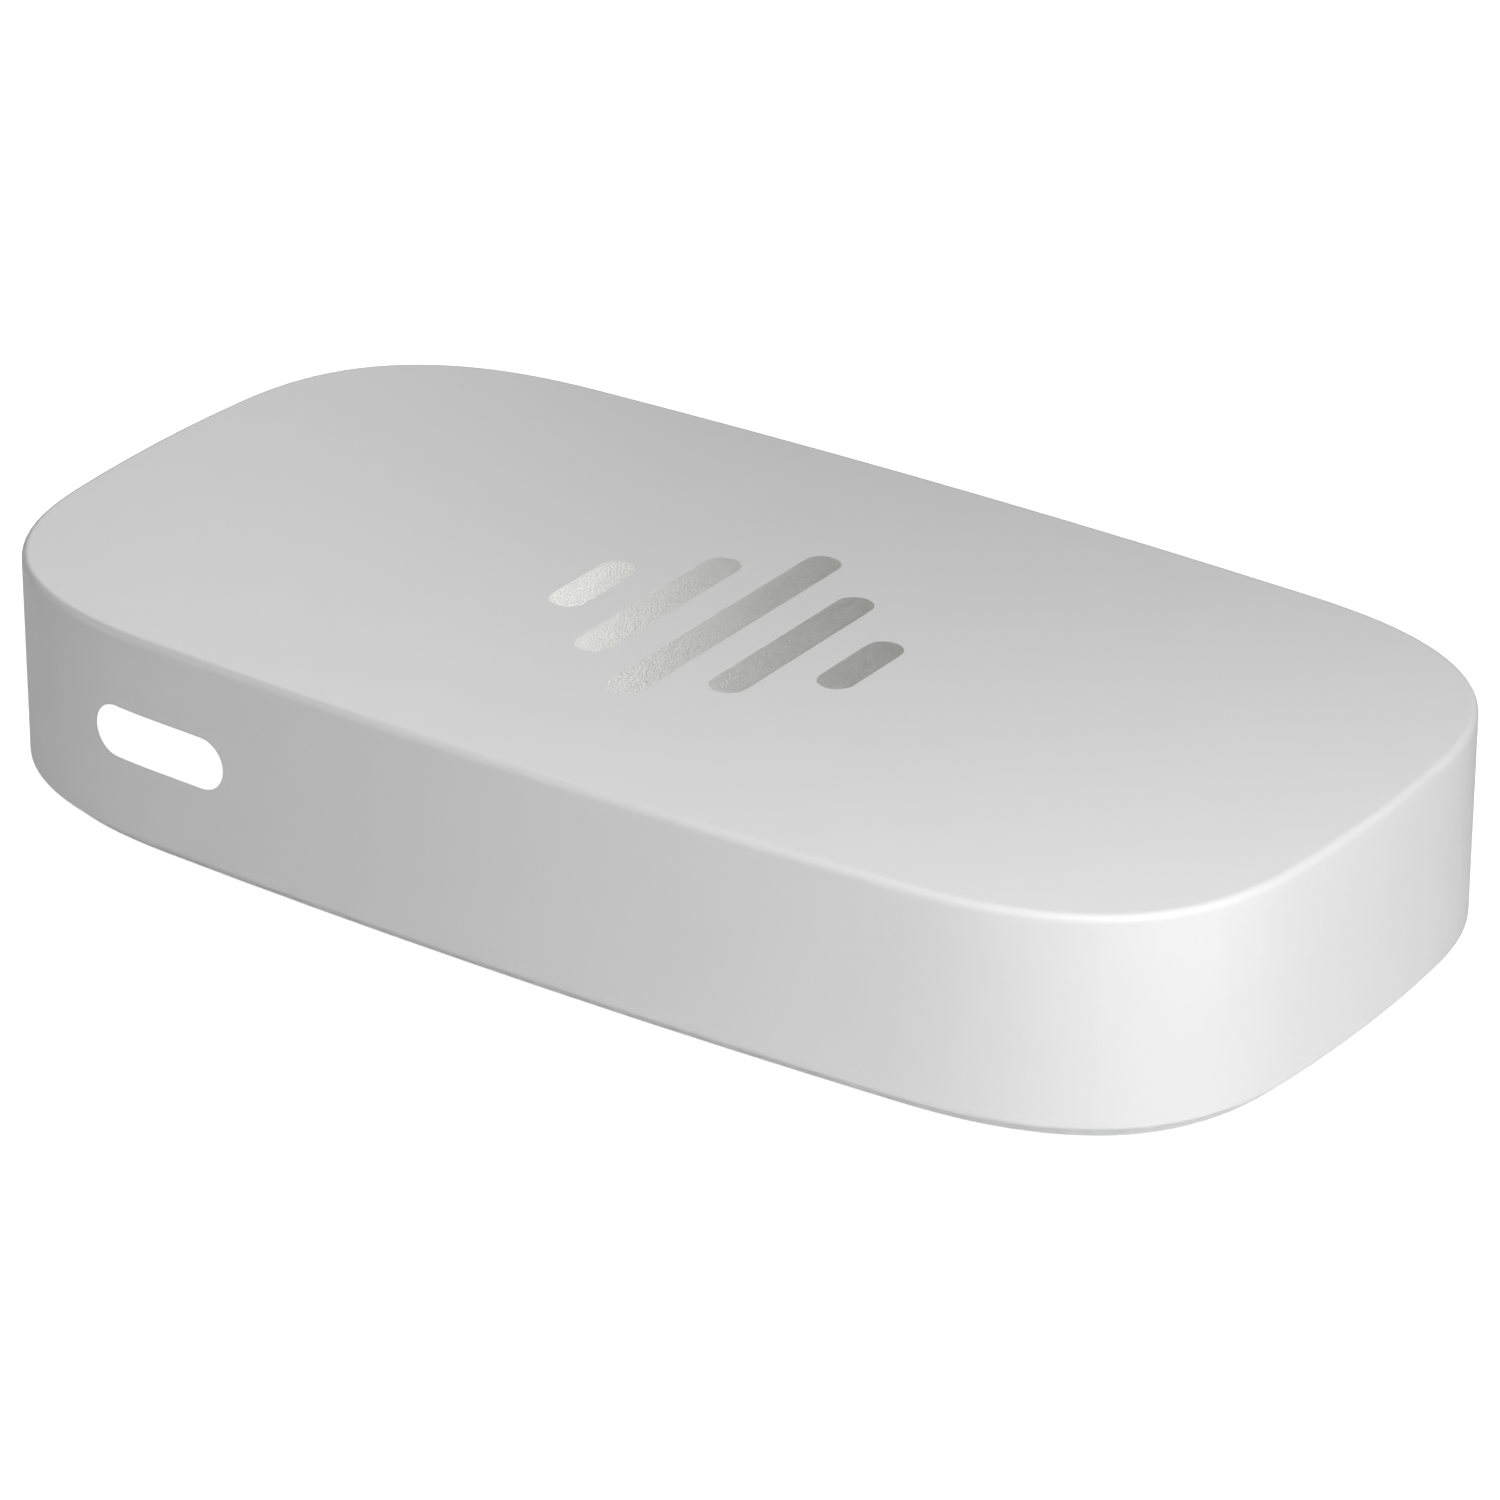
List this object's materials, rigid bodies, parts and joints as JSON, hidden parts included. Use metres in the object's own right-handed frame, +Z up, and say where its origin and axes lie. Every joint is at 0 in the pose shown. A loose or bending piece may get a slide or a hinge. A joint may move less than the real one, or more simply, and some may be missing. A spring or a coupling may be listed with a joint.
{
  "type": "bluetooth audio receiver",
  "caption": "Low rounded desktop wireless audio receiver: lit pill-shaped window in front; power, analogue and optical sockets and a pairing button behind.",
  "frame": {"origin": "middle of the footprint, on the surface that the receiver stands on", "axes": "+X along the length, +Y towards the back with the sockets, +Z up; the lit window faces -Y"},
  "size_m": [0.11, 0.058, 0.0182],
  "materials": {
    "housing_white": "fine satin grain, moulded ABS and PC",
    "cover_white": "fine matt grain, moulded ABS",
    "emblem_foil": "fine-grained silver foil",
    "window_milky": "milky diffusing polycarbonate, lit white",
    "silicone": "matt grey silicone",
    "clear_plastic": "clear polished acrylic",
    "black_plastic": "fine matt, moulded",
    "led_package": "moulded white package with phosphor",
    "board_laminate": "green solder mask on glass-epoxy laminate",
    "tinned_steel": "tin-plated sheet",
    "gold_contact": "gold-plated copper alloy",
    "chip_package": "black epoxy moulding",
    "ferrite": "grey moulded powder core",
    "can_aluminium": "drawn aluminium can with a clear sleeve",
    "ceramic_tan": "fired ceramic with tinned ends",
    "resistor_black": "glazed ceramic with tinned ends",
    "screw_steel": "zinc-plated steel",
    "spring_steel": "bright spring wire",
    "button_white": "fine satin grain"
  },
  "bodies": {
    "receiver": {"upper_housing": "housing_white", "base_cover": "cover_white", "foot_pad": "silicone", "emblem": "emblem_foil", "status_window": "window_milky", "light_guide": "clear_plastic", "light_shroud": "black_plastic", "status_leds": "led_package", "main_board": "board_laminate", "bluetooth_module_board": "board_laminate", "module_shield_can": "tinned_steel", "module_antenna": "gold_contact", "dac_chip": "chip_package", "line_driver_chip": "chip_package", "power_regulator": "chip_package", "power_inductor": "ferrite", "crystal_oscillator": "tinned_steel", "electrolytic_capacitors": "can_aluminium", "ceramic_capacitors": "ceramic_tan", "chip_resistors": "resistor_black", "usb_c_shell": "tinned_steel", "usb_c_insulator": "black_plastic", "usb_c_contacts": "gold_contact", "audio_jack_body": "black_plastic", "audio_jack_contacts": "gold_contact", "optical_socket_body": "black_plastic", "optical_emitter": "clear_plastic", "shutter_spring": "spring_steel", "switch_body": "black_plastic", "switch_dome": "spring_steel", "switch_cover": "tinned_steel", "housing_screws": "screw_steel", "board_screws": "screw_steel"},
    "button": {"pair_button": "button_white"},
    "plunger": {"switch_plunger": "black_plastic"},
    "shutter": {"optical_shutter": "black_plastic"}
  },
  "joints": [
    {"name": "button_press", "type": "slide", "parent": "receiver", "child": "button", "axis": [0, -1, 0], "range_m": [0, 0.0003], "stiffness_N_per_m": 3000},
    {"name": "plunger_press", "type": "slide", "parent": "receiver", "child": "plunger", "axis": [0, -1, 0], "range_m": [0, 0.0003]},
    {"name": "shutter_swing", "type": "hinge", "parent": "receiver", "child": "shutter", "pos_m": [-0.01, 0.02702, 0.01415], "axis": [-1, 0, 0], "range_deg": [0, 88], "stiffness_Nm_per_rad": 0.0005, "springref_deg": -28.65, "deforming": ["shutter_spring"]}
  ],
  "couplings": [
    {"joint": "plunger_press", "follows": "button_press", "ratio": 1}
  ]
}
